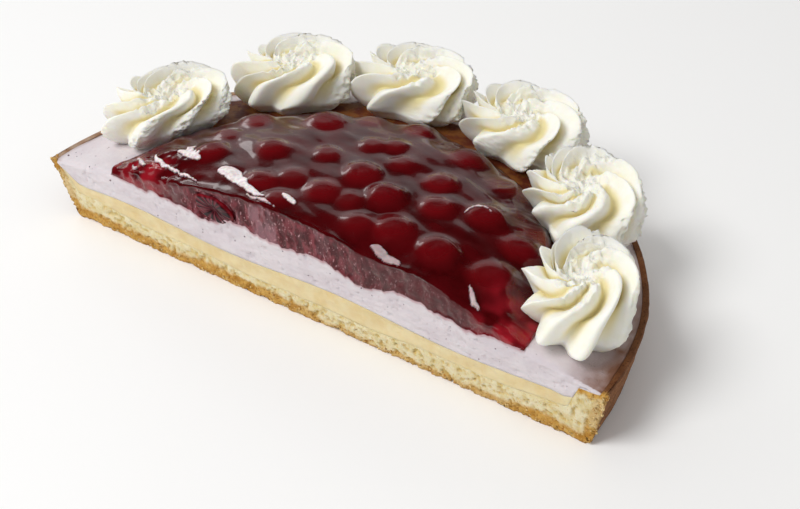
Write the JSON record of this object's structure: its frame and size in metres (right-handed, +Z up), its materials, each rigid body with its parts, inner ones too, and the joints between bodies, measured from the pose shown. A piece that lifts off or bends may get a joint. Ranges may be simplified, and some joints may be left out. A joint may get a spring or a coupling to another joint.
{
  "type": "cherry pie",
  "caption": "Half of a round cherry cream pie, cut straight across: crust, custard, mousse and domed cherry jelly with whole cherries, ringed by piped cream rosettes.",
  "frame": {"origin": "centre of the pie's own box, on the plane it rests on", "axes": "+X along the straight cut, from its thin-walled end to its thick-walled end; the cut faces -Y and the rounded rim +Y; +Z up"},
  "size_m": [0.2678, 0.1408, 0.053],
  "materials": {
    "pastry": "baked crumb, browned outside",
    "custard": "smooth set custard",
    "mousse": "fine airy mousse",
    "cherry_jelly": "wet glossy jelly",
    "cherry": "wet glossy fruit",
    "whipped_cream": "soft satin"
  },
  "bodies": {
    "root": {"crust": "pastry", "custard": "custard", "mousse": "mousse", "cherry_filling": "cherry_jelly", "cherry_01": "cherry", "cherry_02": "cherry", "cherry_03": "cherry", "cherry_04": "cherry", "cherry_05": "cherry", "cherry_06": "cherry", "cherry_07": "cherry", "cherry_08": "cherry", "cherry_09": "cherry", "cherry_10": "cherry", "cherry_11": "cherry", "cherry_12": "cherry", "cherry_13": "cherry", "cherry_14": "cherry", "cherry_15": "cherry", "cherry_16": "cherry", "cherry_17": "cherry", "rosette_1": "whipped_cream", "rosette_2": "whipped_cream", "rosette_3": "whipped_cream", "rosette_4": "whipped_cream", "rosette_5": "whipped_cream", "rosette_6": "whipped_cream"}
  },
  "joints": []
}
